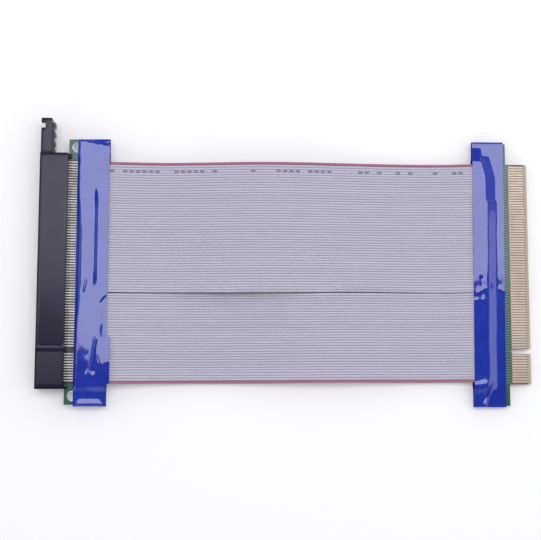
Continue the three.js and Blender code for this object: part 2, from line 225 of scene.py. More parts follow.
def choose(piece, kind, test):
    bpy.ops.object.mode_set(mode="EDIT")
    bpy.ops.mesh.select_mode(type=kind)
    bpy.ops.mesh.select_all(action="DESELECT")
    shape = bmesh.from_edit_mesh(piece.data)
    items = {"VERT": shape.verts, "EDGE": shape.edges, "FACE": shape.faces}[kind]
    for item in items:
        if test(middle(item)):
            item.select_set(True)
    shape.select_flush_mode()
    bmesh.update_edit_mesh(piece.data)


def done():
    bpy.ops.object.mode_set(mode="OBJECT")


def score(piece, axis, places):
    normal = {"X": (1, 0, 0), "Y": (0, 1, 0), "Z": (0, 0, 1)}[axis]
    for at in places:
        choose(piece, "FACE", lambda c: True)
        point = Vector(normal) * at
        bpy.ops.mesh.bisect(plane_co=point, plane_no=normal)
    done()


def extrude(piece, test, step):
    choose(piece, "FACE", test)
    bpy.ops.mesh.extrude_region_move(TRANSFORM_OT_translate={"value": step})


def shift(piece, test, step):
    choose(piece, "VERT", test)
    bpy.ops.transform.translate(value=step)
    done()


def near(a, b):
    return abs(a - b) < 1e-3


def modify(piece, kind, **values):
    bpy.ops.object.select_all(action="DESELECT")
    bpy.context.view_layer.objects.active = piece
    piece.select_set(True)
    modifier = piece.modifiers.new("shape", kind)
    for key, value in values.items():
        setattr(modifier, key, value)
    bpy.ops.object.modifier_apply(modifier=modifier.name)


def soften(piece, width, segments=2, angle=35):
    modify(
        piece, "BEVEL", width=width, segments=segments, limit_method="ANGLE",
        angle_limit=math.radians(angle), use_clamp_overlap=True,
    )
    smooth(piece, 40)


def smooth(piece, angle):
    bpy.ops.object.select_all(action="DESELECT")
    bpy.context.view_layer.objects.active = piece
    piece.select_set(True)
    bpy.ops.object.shade_smooth_by_angle(angle=math.radians(angle))


def carve(piece, cutter):
    modify(piece, "BOOLEAN", operation="DIFFERENCE", solver="EXACT", object=cutter)
    bpy.data.objects.remove(cutter)


def copy_of(piece, name):
    twin = piece.copy()
    twin.data = piece.data.copy()
    twin.name = name
    bpy.context.scene.collection.objects.link(twin)
    return twin


def merge(pieces, name):
    bpy.ops.object.select_all(action="DESELECT")
    for piece in pieces:
        piece.select_set(True)
    bpy.context.view_layer.objects.active = pieces[0]
    bpy.ops.object.join()
    pieces[0].name = name
    return pieces[0]


TO_FRAME = Matrix.Translation(Vector((-WHOLE_LENGTH / 2, -ROWS_ABOVE_MIDDLE, 0)) * MM) @ Matrix.Scale(MM, 4)


def settle(piece, finish, slot, *nodes):
    piece.data.transform(TO_FRAME)
    piece.data.materials.clear()
    piece.data.materials.append(finish)
    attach(piece, "root")
    for node in nodes:
        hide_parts(node)
    return piece


# Both groups of a contact row, from one contact modelled at y = 0
def contact_row(piece, name):
    groups = []
    for first, count, step in (
        (FIRST_SHORT, SHORT_CONTACTS, -CONTACT_SPACING),
        (FIRST_LONG, LONG_CONTACTS, CONTACT_SPACING),
    ):
        group = copy_of(piece, name)
        group.data.transform(Matrix.Translation((0, first, 0)))
        modify(
            group, "ARRAY", count=count, use_relative_offset=False,
            use_constant_offset=True, constant_offset_displace=(0, step, 0),
        )
        groups.append(group)
    bpy.data.objects.remove(piece)
    return merge(groups, name)


def line(x, start, end):
    return min(max((x - start) / (end - start), 0), 1)


def ramp(x, start, end):
    share = line(x, start, end)
    return share * share * (3 - 2 * share)


def swell(y, low, high, ease):
    return ramp(y, low, low + ease) * (1 - ramp(y, high - ease, high))


# Materials

class Finish:
    """A node material, built round one Principled shader"""

    def __init__(self, name, **sockets):
        self.material = bpy.data.materials.new(name)
        self.material.use_nodes = True
        self.tree = self.material.node_tree
        self.shader = self.tree.nodes["Principled BSDF"]
        for key, value in sockets.items():
            self.shader.inputs[key.replace("_", " ")].default_value = value

    def node(self, kind, settings=None, **inputs):
        made = self.tree.nodes.new(kind)
        for key, value in (settings or {}).items():
            setattr(made, key, value)
        for key, value in inputs.items():
            socket = made.inputs[int(key[1:])] if key[1:].isdigit() else made.inputs[key.replace("_", " ")]
            if isinstance(value, bpy.types.NodeSocket):
                self.tree.links.new(value, socket)
            else:
                socket.default_value = value
        return made

    def coords(self, kind="Object", scale=(1, 1, 1)):
        place = self.node("ShaderNodeTexCoord").outputs[kind]
        return self.node("ShaderNodeMapping", Vector=place, Scale=scale).outputs[0]

    def noise(self, vector, scale, detail=3.0, roughness=0.5):
        return self.node(
            "ShaderNodeTexNoise", Vector=vector, Scale=scale, Detail=detail, Roughness=roughness,
        ).outputs[0]

    def math(self, operation, first, second=0.0, third=0.0):
        made = self.node("ShaderNodeMath", {"operation": operation}, i0=first, i1=second, i2=third)
        return made.outputs[0]

    def span(self, value, low, high, to_low, to_high):
        return self.node(
            "ShaderNodeMapRange", i0=value, i1=low, i2=high, i3=to_low, i4=to_high,
        ).outputs[0]

    def blend(self, factor, first, second):
        made = self.tree.nodes.new("ShaderNodeMix")
        made.data_type = "RGBA"
        for socket, value in zip((made.inputs[0], made.inputs[6], made.inputs[7]), (factor, first, second)):
            if isinstance(value, bpy.types.NodeSocket):
                self.tree.links.new(value, socket)
            else:
                socket.default_value = value
        return made.outputs[2]

    def feed(self, socket, value):
        self.tree.links.new(value, self.shader.inputs[socket])

    def bump(self, height, strength, distance):
        made = self.node("ShaderNodeBump", Height=height, Strength=strength, Distance=distance)
        self.feed("Normal", made.outputs[0])


def colour(red, green, blue):
    return (red, green, blue, 1.0)


def housing_finish():
    finish = Finish("black_plastic", Specular_IOR_Level=0.42, Specular_Tint=(0.88, 0.84, 1.0, 1.0))
    place = finish.coords()
    cloud = finish.noise(place, 90.0, 4.0)
    finish.feed("Base Color", finish.blend(cloud, colour(0.011, 0.009, 0.024), colour(0.019, 0.016, 0.040)))
    finish.feed("Roughness", finish.span(finish.noise(place, 400.0), 0.3, 0.7, 0.19, 0.26))
    finish.bump(finish.noise(place, 5200.0, 2.0), 0.1, 0.00003)
    return finish.material


def laminate_finish():
    finish = Finish("green_board", Coat_Weight=0.3, Coat_Roughness=0.12)
    place = finish.coords()
    parts = finish.node("ShaderNodeSeparateXYZ", Vector=place)
    # Traces under the mask run to the contacts, one for each contact
    across = finish.math("MULTIPLY_ADD", parts.outputs[1], 1000.0, 0.125)
    beat = finish.math("FRACT", across)
    trace = finish.math("COMPARE", beat, 0.5, 0.17)
    rows = finish.math("COMPARE", parts.outputs[1], -ROWS_ABOVE_MIDDLE * MM, TAB_HALF * MM)
    shown = finish.math("MULTIPLY", trace, rows)
    cloud = finish.noise(place, 60.0, 4.0)
    mask = finish.blend(cloud, colour(0.013, 0.074, 0.05), colour(0.025, 0.115, 0.082))
    traced = finish.blend(shown, mask, colour(0.12, 0.25, 0.22))
    # Painted shade: the board is darkened between the solder pads of the socket board, where the leads and
    # the housing shade it
    soldered = finish.math("LESS_THAN", parts.outputs[0], (SOCKET_TAPE_X[0] - WHOLE_LENGTH / 2 + 1) * MM)
    pad_shade = finish.math("MULTIPLY", soldered, rows)
    finish.feed("Base Color", finish.blend(pad_shade, traced, colour(0.014, 0.016, 0.018)))
    finish.feed("Roughness", finish.span(cloud, 0.3, 0.7, 0.28, 0.42))
    finish.bump(finish.math("ADD", shown, finish.noise(place, 2500.0)), 0.3, 0.00003)
    return finish.material


def bare_laminate_finish():
    finish = Finish("bare_laminate", Roughness=0.6)
    weave = finish.noise(finish.coords(scale=(1, 0.25, 6)), 2400.0, 4.0)
    edge = finish.blend(weave, colour(0.42, 0.35, 0.25), colour(0.58, 0.5, 0.39))
    between = finish.blend(weave, colour(0.16, 0.085, 0.07), colour(0.27, 0.16, 0.135))
    # Paler where the tip is milled to its bevel
    tip = finish.node("ShaderNodeSeparateXYZ", Vector=finish.coords()).outputs[0]
    milled = finish.math("GREATER_THAN", tip, (TAB_TIP - TAB_BEVEL - WHOLE_LENGTH / 2) * MM)
    finish.feed("Base Color", finish.blend(milled, between, edge))
    finish.bump(weave, 0.5, 0.00004)
    return finish.material


def metal_finish(name, low, high, scale):
    finish = Finish(name, Metallic=0.55)
    place = finish.coords()
    cloud = finish.noise(place, scale, 4.0)
    tone = finish.span(cloud, 0.36, 0.62, 0.0, 1.0)
    finish.feed("Base Color", finish.blend(tone, low, high))
    finish.feed("Roughness", finish.span(finish.noise(place, scale * 4), 0.3, 0.7, 0.42, 0.6))
    finish.bump(finish.noise(place, scale * 9), 0.3, 0.00002)
    return finish.material


def ribbon_finish(name, wires, first, low, high, printed):
    finish = Finish(name, Specular_IOR_Level=0.4)
    parts = finish.node("ShaderNodeSeparateXYZ", Vector=finish.node("ShaderNodeTexCoord").outputs["UV"])
    along = parts.outputs[0]
    wire = finish.math("FLOOR", finish.math("MULTIPLY_ADD", parts.outputs[1], float(wires), float(first)))
    tone = finish.node("ShaderNodeTexWhiteNoise", {"noise_dimensions": "1D"}, W=wire).outputs[0]
    strand = finish.node("ShaderNodeCombineXYZ", X=finish.math("MULTIPLY", along, 14.0), Y=wire)
    drift = finish.noise(strand.outputs[0], 1.0, 3.0)
    level = finish.math("ADD", finish.math("MULTIPLY", tone, 0.35), finish.math("MULTIPLY", drift, 0.65))
    # Dust and shade in the grooves between the wires
    across = finish.math("FRACT", finish.math("MULTIPLY", parts.outputs[1], float(wires)))
    groove = finish.math("ABSOLUTE", finish.math("SUBTRACT", across, 0.5))
    body = finish.blend(level, low, high)
    shade = colour(*[0.28 * c for c in low[:3]])
    body = finish.blend(finish.span(groove, 0.22, 0.45, 0.0, 0.9), body, shade)
    if printed:
        cell = finish.math("MULTIPLY", along, 62.0)
        picked = finish.node(
            "ShaderNodeTexWhiteNoise", {"noise_dimensions": "1D"}, W=finish.math("FLOOR", cell),
        ).outputs[0]
        inside = finish.math("COMPARE", finish.math("FRACT", cell), 0.5, 0.36)
        height = finish.math("MULTIPLY", parts.outputs[1], float(wires))
        on_wire = finish.math("COMPARE", height, PRINT_WIRE, 0.33)
        drawn = finish.math("MULTIPLY", finish.math("GREATER_THAN", picked, 0.42), inside)
        ink = finish.math("MULTIPLY", finish.math("MULTIPLY", drawn, on_wire), 0.62)
        body = finish.blend(ink, body, colour(0.09, 0.085, 0.11))
    finish.feed("Base Color", body)
    place = finish.coords()
    finish.feed("Roughness", finish.span(finish.noise(place, 220.0), 0.3, 0.7, 0.42, 0.58))
    finish.bump(finish.noise(place, 1600.0, 3.0), 0.2, 0.00005)
    return finish.material


def tape_finish():
    finish = Finish("blue_tape", Coat_Weight=1.0, Coat_Roughness=0.03, IOR=1.5)
    place = finish.coords()
    cloud = finish.noise(place, 110.0, 3.0)
    finish.feed("Base Color", finish.blend(cloud, colour(0.009, 0.024, 0.30), colour(0.018, 0.048, 0.50)))
    finish.feed("Roughness", finish.span(finish.noise(place, 300.0), 0.3, 0.7, 0.05, 0.09))
    streak = finish.noise(finish.coords(scale=(1, 0.2, 1)), 420.0, 2.0)
    finish.bump(streak, 0.06, 0.0001)
    return finish.material


FINISHES = {
    "plastic": housing_finish(),
    "laminate": laminate_finish(),
    "bare": bare_laminate_finish(),
    "gold": metal_finish("contact_gold", colour(0.58, 0.48, 0.395), colour(0.66, 0.57, 0.48), 160.0),
    "tin": metal_finish("contact_tin", colour(0.5, 0.48, 0.45), colour(0.78, 0.77, 0.76), 300.0),
    "tape": tape_finish(),
}
GREY = (colour(0.52, 0.50, 0.61), colour(0.64, 0.62, 0.74))
RED = (colour(0.36, 0.13, 0.21), colour(0.5, 0.22, 0.31))


# Slot housing

def housing_shell():
    piece = block("housing_shell", (0, -HOUSING_HALF, 0), (HOUSING_DEPTH, HOUSING_HALF, HOUSING_HEIGHT))
    mouth = SLOT_HEIGHT / 2 + SLOT_FLARE
    pad = FIRST_LONG - SINK_WIDTH / 2 - KEY_PAD_WIDTH
    sink = (FIRST_LONG - SINK_WIDTH / 2, FIRST_LONG + SINK_WIDTH / 2)
    score(piece, "Y", [
        -SLOT_HALF, KEY_Y - SLOT_RIB, KEY_Y + SLOT_RIB, SLOT_HALF, END_CHAMFER - HOUSING_HALF, pad, *sink,
    ])
    score(piece, "Z", [SOCKET_Z - mouth, SOCKET_Z + mouth])
    score(piece, "X", SINK_X)

    def in_slot(c):
        within = SLOT_RIB < abs(c.y - KEY_Y) and abs(c.y) < SLOT_HALF
        return within and abs(c.z - SOCKET_Z) < mouth

    extrude(piece, lambda c: near(c.x, 0) and in_slot(c), (SLOT_FLARE, 0, 0))
    bpy.ops.transform.resize(value=(1, 1, SLOT_HEIGHT / 2 / mouth), center_override=(0, 0, SOCKET_Z))
    bpy.ops.mesh.extrude_region_move(TRANSFORM_OT_translate={"value": (SLOT_DEPTH - SLOT_FLARE, 0, 0)})
    for face, side in ((HOUSING_HEIGHT, 1), (0, -1)):
        in_sink = lambda c: near(c.z, face) and sink[0] < c.y < sink[1] and SINK_X[0] < c.x < SINK_X[1]
        extrude(piece, in_sink, (0, 0, -side * SINK_DEPTH))
        if side > 0:
            on_pad = lambda c: near(c.z, face) and pad < c.y < sink[0]
            extrude(piece, on_pad, (0, 0, KEY_PAD_RISE))
        done()
        shift(piece, lambda c: near(c.y, -HOUSING_HALF) and near(c.z, face), (0, 0, -side * END_DROP))
    soften(piece, 0.12)
    return piece


def straddle_pads():
    pads = []
    end = HOUSING_HALF - STRADDLE_WIDTH / 2
    for y, length in ((-end, STRADDLE_LENGTH), (KEY_Y, KEY_STRADDLE_LENGTH), (end, STRADDLE_LENGTH)):
        for side in (-1, 1):
            seat = SOCKET_Z + side * BOARD / 2
            back = seat + side * STRADDLE_HEIGHT
            pad = block(
                "straddle_pads",
                (HOUSING_DEPTH - 0.1, y - STRADDLE_WIDTH / 2, min(seat, back)),
                (HOUSING_DEPTH + length, y + STRADDLE_WIDTH / 2, max(seat, back)),
            )
            top = max(seat, back) if side > 0 else min(seat, back)
            shift(pad, lambda c: near(c.z, top) and c.x > HOUSING_DEPTH, (-STRADDLE_SLOPE, 0, 0))
            soften(pad, 0.12)
            pads.append(pad)
    return merge(pads, "straddle_pads")


def latch():
    foot = HOUSING_HALF
    tip = foot + LATCH_REACH
    half = LATCH_THICKNESS / 2
    grip = GRIP_THICKNESS / 2
    throat = (tip - HOOK_TIP - HOOK_GAP, tip - HOOK_TIP)
    web_end = foot + GRIP_TEETH[-1][1]
    piece = block("latch", (HOOK_THROAT, foot - 0.1, SOCKET_Z - half), (LATCH_DEPTH, tip, SOCKET_Z + half))
    score(piece, "Y", [*throat, *[foot + y for tooth in GRIP_TEETH for y in tooth if y > 0]])
    score(piece, "Z", [SOCKET_Z - grip, HOOK_UNDERSIDE, SOCKET_Z + grip])
    extrude(piece, lambda c: near(c.x, HOOK_THROAT) and c.y < throat[0], (-HOOK_THROAT, 0, 0))
    # The hook itself is thin, and open below
    hook = lambda c: near(c.x, HOOK_THROAT) and c.y > throat[1] and c.z > HOOK_UNDERSIDE
    extrude(piece, hook, (-HOOK_THROAT, 0, 0))

    def on_grip(c, x):
        return near(c.x, x) and c.y < web_end and abs(c.z - SOCKET_Z) < grip

    extrude(piece, lambda c: on_grip(c, LATCH_DEPTH), (GRIP_WEB, 0, 0))

    def on_tooth(c):
        inside = any(a < c.y - foot < b for a, b in GRIP_TEETH) or c.y < foot
        return on_grip(c, LATCH_DEPTH + GRIP_WEB) and inside

    extrude(piece, on_tooth, (GRIP_TOOTH - GRIP_WEB, 0, 0))
    done()
    soften(piece, 0.18)
    return piece


# One lead: out of the housing, down to the board, and a flat foot in its solder
def lead(side):
    seat = SOCKET_Z + side * BOARD / 2
    low, high = sorted(seat + side * lift for lift in LEAD_LIFT)
    start, end = (HOUSING_DEPTH + x for x in LEAD_X)
    bends = [HOUSING_DEPTH + x for x in LEAD_BENDS]
    piece = block("lead", (start, -LEAD_HALF, low), (end, LEAD_HALF, high))
    score(piece, "X", bends)
    shift(piece, lambda c: c.x > bends[1] - 0.05, (0, 0, -side * LEAD_DROP))
    soften(piece, 0.04, 1)
    return piece


def solder_pad(side):
    seat = SOCKET_Z + side * BOARD / 2
    face = seat + side * PAD_HEIGHT
    low, high = sorted((seat - side * PAD_SINK, face))
    start, end = (HOUSING_DEPTH + x for x in PAD_X)
    mound = [HOUSING_DEPTH + x for x in PAD_MOUND]
    piece = block("solder_pad", (start, -PAD_HALF, low), (end, PAD_HALF, high))
    score(piece, "X", mound)

    def on_mound(c):
        return near(c.z, face) and mound[0] - 0.1 < c.x < mound[1] + 0.1

    shift(piece, on_mound, (0, 0, side * PAD_RISE))
    soften(piece, 0.06, 2)
    return piece


def spring(side):
    wall = SOCKET_Z + side * SLOT_HEIGHT / 2
    low, high = sorted((wall - side * SPRING_SINK, wall - side * SPRING_THICKNESS))
    front, top, back, _ = SPRING_BENDS
    piece = block("spring", (SPRING_START, -SPRING_HALF, low), (SLOT_DEPTH, SPRING_HALF, high))
    score(piece, "X", SPRING_BENDS)
    shift(piece, lambda c: near(c.x, top), (0, 0, -side * SPRING_ARCH))
    shift(piece, lambda c: near(c.x, front) or near(c.x, back), (0, 0, -side * SPRING_SHOULDER))
    smooth(piece, 30)
    return piece


# Boards

def socket_board():
    low, high = SOCKET_BOARD_X
    piece = block(
        "socket_board_laminate",
        (low, -SOCKET_BOARD_HALF, SOCKET_Z - BOARD / 2), (high, SOCKET_BOARD_HALF, SOCKET_Z + BOARD / 2),
    )
    for centre in hole_centres():
        carve(piece, cylinder("drill", (*centre, SOCKET_Z), HOLE_RADIUS, 2 * BOARD, 48))
    soften(piece, 0.06, 1)
    return piece


def hole_centres():
    x = SOCKET_BOARD_X[0] + HOLE_FROM_END
    return [(x, end * (SOCKET_BOARD_HALF - HOLE_FROM_END)) for end in (-1, 1)]


# Tinned rims round the two holes
def hole_rims():
    rims = []
    for centre in hole_centres():
        rim = cylinder("hole_rims", (*centre, SOCKET_Z), HOLE_RADIUS + RING_WIDTH, BOARD + 0.06, 48)
        choose(rim, "FACE", lambda c: abs(c.z - SOCKET_Z) > BOARD / 2)
        bpy.ops.mesh.inset(thickness=RING_WIDTH + 0.02)
        choose(rim, "FACE", lambda c: near(c.x, centre[0]) and near(c.y, centre[1]))
        bpy.ops.mesh.bridge_edge_loops()
        bpy.ops.mesh.select_all(action="SELECT")
        bpy.ops.mesh.normals_make_consistent(inside=False)
        done()
        smooth(rim, 30)
        rims.append(rim)
    return merge(rims, "hole_rims")


def plug_board():
    half = BOARD / 2
    low, shoulder = PLUG_BOARD_X
    piece = block(
        "plug_board_laminate",
        (low, -PLUG_BOARD_HALF, PLUG_Z - half), (shoulder, PLUG_BOARD_HALF, PLUG_Z + half),
    )
    score(piece, "Y", [-TAB_HALF, TAB_HALF])
    extrude(piece, lambda c: near(c.x, shoulder) and abs(c.y) < TAB_HALF, (TAB_TIP - shoulder, 0, 0))
    done()
    score(piece, "X", [TAB_TIP - TAB_BEVEL])
    drop = (BOARD - TAB_EDGE) / 2
    shift(piece, lambda c: near(c.x, TAB_TIP) and c.z > PLUG_Z, (0, 0, -drop))
    shift(piece, lambda c: near(c.x, TAB_TIP) and c.z < PLUG_Z, (0, 0, drop))
    choose(piece, "EDGE", lambda c: near(c.x, TAB_TIP) and near(abs(c.y), TAB_HALF))
    bpy.ops.mesh.bevel(offset=TAB_CORNER, segments=2, affect="EDGES")
    done()
    radius = NOTCH_WIDTH / 2
    end = TAB_TIP - NOTCH_DEPTH + radius
    saw_low = (end, KEY_Y - radius, PLUG_Z - BOARD)
    saw_high = (TAB_TIP + 1, KEY_Y + radius, PLUG_Z + BOARD)
    carve(piece, block("saw", saw_low, saw_high))
    carve(piece, cylinder("drill", (end, KEY_Y, PLUG_Z), radius, 2 * BOARD, 32))
    edge = copy_of(piece, "bare_tab")
    split = FINGER_X[0] - MASK_FROM_FINGER
    trim(piece, split, keep_low=True)
    trim(edge, split, keep_low=False)
    soften(piece, 0.04, 1)
    soften(edge, 0.04, 1)
    return piece, edge


def trim(piece, x, keep_low):
    bpy.ops.object.select_all(action="DESELECT")
    bpy.context.view_layer.objects.active = piece
    piece.select_set(True)
    bpy.ops.object.mode_set(mode="EDIT")
    bpy.ops.mesh.select_all(action="SELECT")
    bpy.ops.mesh.bisect(
        plane_co=(x, 0, 0), plane_no=(1, 0, 0), use_fill=True,
        clear_outer=keep_low, clear_inner=not keep_low,
    )
    done()


def finger(side):
    face = PLUG_Z + side * BOARD / 2
    low, high = sorted((face - side * 0.02, face + side * FINGER_PROUD))
    half = FINGER_WIDTH / 2
    piece = block("finger", (FINGER_X[0], -half, low), (FINGER_X[1], half, high))
    choose(piece, "EDGE", lambda c: near(abs(c.y), half) and not FINGER_X[0] < c.x < FINGER_X[1])
    bpy.ops.mesh.bevel(offset=0.2, segments=2, affect="EDGES")
    done()
    smooth(piece, 30)
    return piece


# Ribbons

def wave_height(wave, x):
    free = FREE_END - FREE_START
    points = [(FREE_START, SOCKET_Z)]
    points += [(FREE_START + share * free, SAG_Z + rise) for share, rise in wave]
    points += [(FREE_END, PLUG_Z)]
    for (x0, z0), (x1, z1) in zip(points, points[1:]):
        if x <= x1:
            return z0 + (z1 - z0) * ramp(x, x0, x1)
    return PLUG_Z


# The slit between the ribbons: how far it stands open at a place, as a share of its width
def slit_open(x):
    closed = math.exp(-((x - SLIT_CLOSED_X) / 7.0) ** 2)
    return (1 - 0.95 * closed) * (1 - 0.7 * ramp(x, 125, 160))


def ribbon(name, first, wires, top, layer, wave):
    bpy.ops.object.select_all(action="DESELECT")
    bpy.ops.mesh.primitive_grid_add(x_subdivisions=RIBBON_STEPS, y_subdivisions=wires * WIRE_FACETS, size=1)
    piece = ready(name)
    bpy.ops.object.mode_set(mode="EDIT")
    bpy.ops.mesh.select_all(action="SELECT")
    bpy.ops.mesh.extrude_region_move(TRANSFORM_OT_translate={"value": (0, 0, 1)})
    done()
    length = RIBBON_X[1] - RIBBON_X[0]
    for vertex in piece.data.vertices:
        x = RIBBON_X[0] + (vertex.co.x + 0.5) * length
        facet = round((vertex.co.y + 0.5) * wires * WIRE_FACETS)
        face = 1 if vertex.co.z > 0.5 else -1
        index, part = divmod(facet, WIRE_FACETS)
        across = -0.5 * math.cos(math.pi * part / WIRE_FACETS)
        bulge = max(math.sqrt(max(WIRE_RADIUS ** 2 - across ** 2, 0)), WEB_HALF)
        if part == 0 and facet in (0, wires * WIRE_FACETS):
            bulge = EDGE_HALF
        bottom = top - (first + wires) * WIRE_SPACING
        y = bottom + (index + 0.5 + across) * WIRE_SPACING
        share = line(x, FREE_START, FREE_END)
        away = ramp(x, FREE_START, FREE_START + SETTLE_RUN) * (1 - ramp(x, FREE_END - SETTLE_RUN, FREE_END))
        gap = BOARD + (LAYER_GAP - BOARD) * away
        wander = SIDE_WANDER * noise.noise(Vector((x * 0.03, y * 0.05, layer * 3.1)))
        lift = HEIGHT_WANDER * noise.noise(Vector((x * 0.045, y * 0.07, 9.0)))
        closing = slit_closing(x, y, first, wires, top)
        z = wave_height(wave, x) + layer * (gap / 2 + WIRE_RADIUS) + face * bulge + lift * away
        y += SOCKET_SHIFT + (PLUG_SHIFT - SOCKET_SHIFT) * share + wander * away + closing
        vertex.co = (x, y, z)
    choose(piece, "FACE", lambda c: True)
    bpy.ops.mesh.normals_make_consistent(inside=False)
    done()
    smooth(piece, 60)
    return piece


# The wires beside the slit lean to each other where it closes
def slit_closing(x, y, first, wires, top):
    away = y - SLIT_Y
    reach = math.exp(-(away / SLIT_REACH) ** 2)
    return -math.copysign(1, away) * reach * (RIBBON_SLIT / 2 - 0.01) * (1 - slit_open(x))


# Tapes

def route_point(distance, half, thick):
    """Place on the loop round a board, and the way out of it: (y, z), (outward y, outward z)"""
    run = 2 * half - 2 * TAPE_CORNER
    end = 2 * thick - 2 * TAPE_CORNER
    arc = math.pi / 2 * TAPE_CORNER
    centres = (half - TAPE_CORNER, thick - TAPE_CORNER)
    legs = [
        (run, lambda d: ((-centres[0] + d, thick), (0, 1))),
        (arc, lambda d: corner((centres[0], centres[1]), math.pi / 2, d)),
        (end, lambda d: ((half, centres[1] - d), (1, 0))),
        (arc, lambda d: corner((centres[0], -centres[1]), 0, d)),
        (run, lambda d: ((centres[0] - d, -thick), (0, -1))),
        (arc, lambda d: corner((-centres[0], -centres[1]), -math.pi / 2, d)),
        (end, lambda d: ((-half, -centres[1] + d), (-1, 0))),
        (arc, lambda d: corner((-centres[0], centres[1]), math.pi, d)),
    ]
    whole = sum(length for length, _ in legs)
    distance %= whole
    for length, at in legs:
        if distance <= length:
            return at(distance)
        distance -= length
    return legs[0][1](0)


def corner(centre, start, distance):
    angle = start - distance / TAPE_CORNER
    out = (math.cos(angle), math.sin(angle))
    return (centre[0] + TAPE_CORNER * out[0], centre[1] + TAPE_CORNER * out[1]), out


def loop_length(half, thick):
    return 4 * (half - TAPE_CORNER) + 4 * (thick - TAPE_CORNER) + 2 * math.pi * TAPE_CORNER


# Height that one crease adds: a soft fold of the film along the line between two points
def crease_height(crease, x, y):
    x0, y0, x1, y1, width, height = crease
    along = Vector((x1 - x0, y1 - y0))
    offset = Vector((x - x0, y - y0))
    share = min(max(offset.dot(along) / along.length_squared, 0), 1)
    away = (offset - along * share).length
    return height * math.exp(-(away / width) ** 2)


# Film over the socket board: up from the contacts, level over the wires, one long soft step above the slit
def socket_surface(x, y):
    inward = x - SOCKET_TAPE_X[0]
    run = 1.1 + 1.3 * swell(y, -26, 34, 22) + 0.3 * noise.noise(Vector((y * 0.3, 2.0, 0)))
    end = 1 - 0.24 * ramp(y, 42.7, 50.2) - ramp(-y, 42.7, 46.5)
    rise = TAPE_LEVEL * ramp(inward, -0.1, run) + 0.12 * ramp(inward, 10.5, 12.2)
    # The step is sharp along one stretch, and spread wide beyond it
    spread = 1 - ramp(-y, -46, -22) * ramp(y, -18, 2)
    step = ramp(inward, 6.75 - 5.0 * spread, 8.45 + 3.0 * spread)
    rise += 0.42 * step * (1 - 0.7 * ramp(inward, 8.6, 12.2))
    # The overlay lifts toward the south in a wedge that narrows as it goes
    south = -y - 28
    wedge = ramp(x, 19.9 + south * 0.28, 22.4 + south * 0.17)
    wedge *= 1 - 0.5 * ramp(x, 24.6, 26.4) * ramp(-y, 34, 37)
    rise += 0.36 * ramp(-y, 24, 40) * (1 - ramp(-y, 40, 42.5)) * wedge
    rise *= end
    # A flat fold shows at the south end, and a low brow at the north end
    inset = 0.5 * (y + 50.3)
    rise += 0.16 * ramp(-y, 47.9, 50.3) * swell(x, 15.0 + inset, 24.9 - inset, 0.6)
    brow = 49.75 - (x - 16.9) * 0.18
    return rise - 0.2 * ramp(y, brow, brow + 0.5)


# Film over the plug board: level over the wires, then down a slope and level again beside the tab
def plug_surface(x, y):
    inward = PLUG_TAPE_X[1] - (x - PLUG_TAPE_SKEW * y)
    inward += 0.5 * noise.noise(Vector((y * 0.06, 7.0, 0)))
    south = 1 - ramp(-y, 42.7, 47.5)
    bend = 2.2 * ramp(y, 36, 47)
    upper = TAPE_LEVEL * line(inward, 3.2 + bend, 7.3 + bend) * (1 - line(y, 43.2, 49.3))
    # A low foot, a long slope and a short shoulder
    lower = 0.14 * line(inward, 2.7, 3.5) + 0.65 * line(inward, 3.5, 6.1) + 0.14 * line(inward, 6.1, 6.9)
    rise = upper if y > PLUG_SEAM else lower * south
    return rise + 0.12 * ramp(-y, 47.5, 50.4) * swell(x, 166, 171, 2)


# Each crease: from x, y to x, y, then its width and height
SOCKET_CREASES = [
    (18.2, -3.0, 17.2, -7.6, 0.4, 0.12),
    (23.8, -12.4, 25.6, -10.2, 0.35, -0.1),
    (21.4, -25.6, 19.5, -38.6, 0.4, 0.2),
    (19.5, -39.2, 20.0, -39.6, 0.9, 0.22),
    (18.1, -45.6, 18.15, -45.6, 0.4, 0.26),
    (25.2, -36.0, 26.0, -41.0, 0.6, -0.15),
    (15.0, 0.0, 15.4, -9.0, 0.5, 0.08),
]
PLUG_CREASES = [
    (165.4, -44.0, 169.2, -42.8, 1.8, 0.22),
    (166.4, -45.0, 167.2, -50.2, 0.4, 0.1),
    (168.6, -44.2, 169.3, -50.3, 0.4, 0.12),
    (172.3, -42.6, 169.4, -50.3, 0.5, 0.17),
    (173.0, -4.4, 173.1, -5.6, 0.5, 0.1),
    (176.3, -6.0, 176.9, -7.0, 0.6, 0.1),
    (167.5, -7.4, 169.8, -6.0, 0.6, 0.1),
    (165.6, -10.6, 167.0, -10.4, 0.5, 0.08),
    (168.5, -2.0, 169.0, -9.0, 0.5, -0.1),
    (176.0, 46.5, 174.6, 43.0, 0.35, 0.07),
    (173.4, 49.4, 177.2, 48.6, 0.3, 0.06),
]


